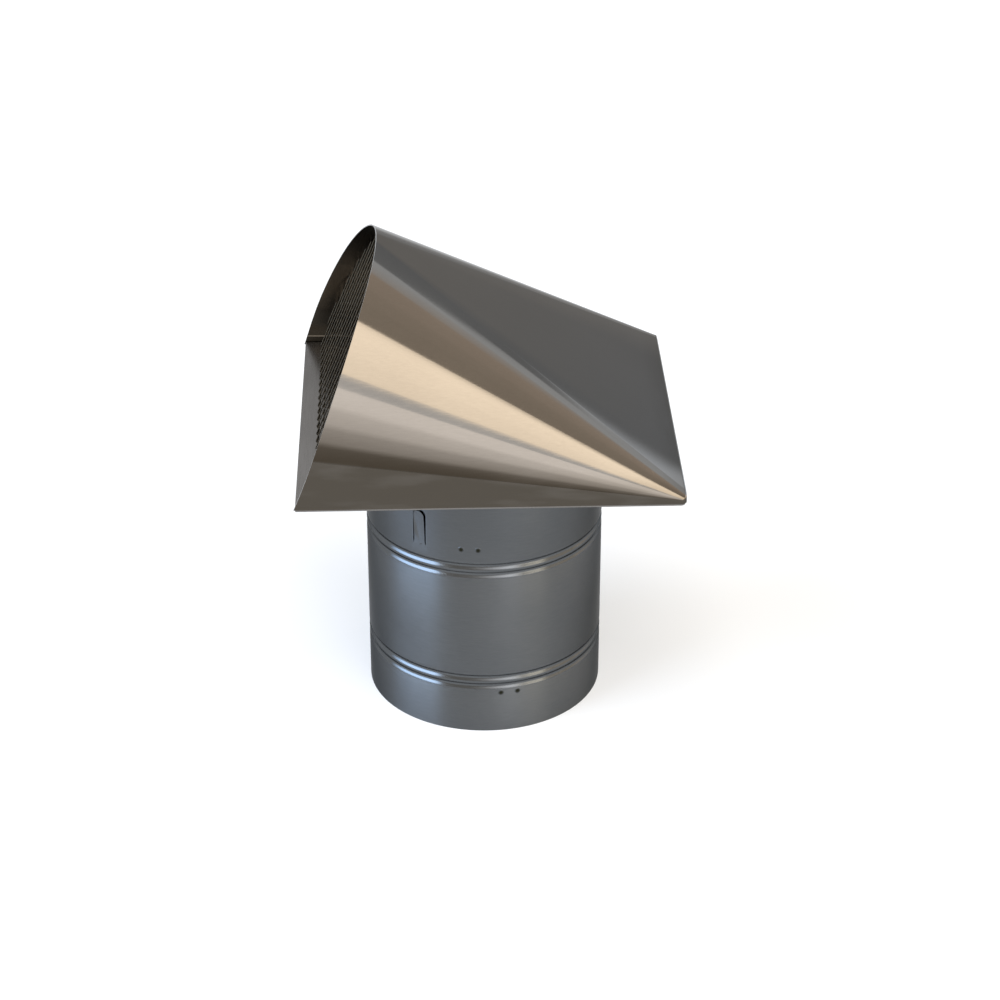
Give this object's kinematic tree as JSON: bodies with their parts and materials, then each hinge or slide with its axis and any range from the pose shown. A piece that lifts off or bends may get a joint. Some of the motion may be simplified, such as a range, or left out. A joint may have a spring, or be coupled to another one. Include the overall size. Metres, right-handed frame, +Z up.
{
  "type": "air intake vent",
  "caption": "Sheet-metal air intake vent: leaning arched hood with a wire bird screen on a rimmed rectangular plate, over a round duct spigot with rolled grooves.",
  "frame": {"origin": "centre of the duct's open lower end, on the duct's axis", "axes": "+Z up the duct's axis towards the hood, -X out of the hood's mouth, Y across the mouth"},
  "size_m": [0.3096, 0.3094, 0.4129],
  "materials": {
    "hood_steel": "brushed, softly reflecting stainless sheet",
    "plate_steel": "brushed stainless sheet",
    "duct_steel": "dull bluish rolled sheet",
    "screen_wire": "drawn wire"
  },
  "bodies": {
    "root": {"hood_shell": "hood_steel", "base_plate": "plate_steel", "duct_pipe": "duct_steel", "spigot_collar": "duct_steel", "bird_screen": "screen_wire"}
  },
  "joints": []
}
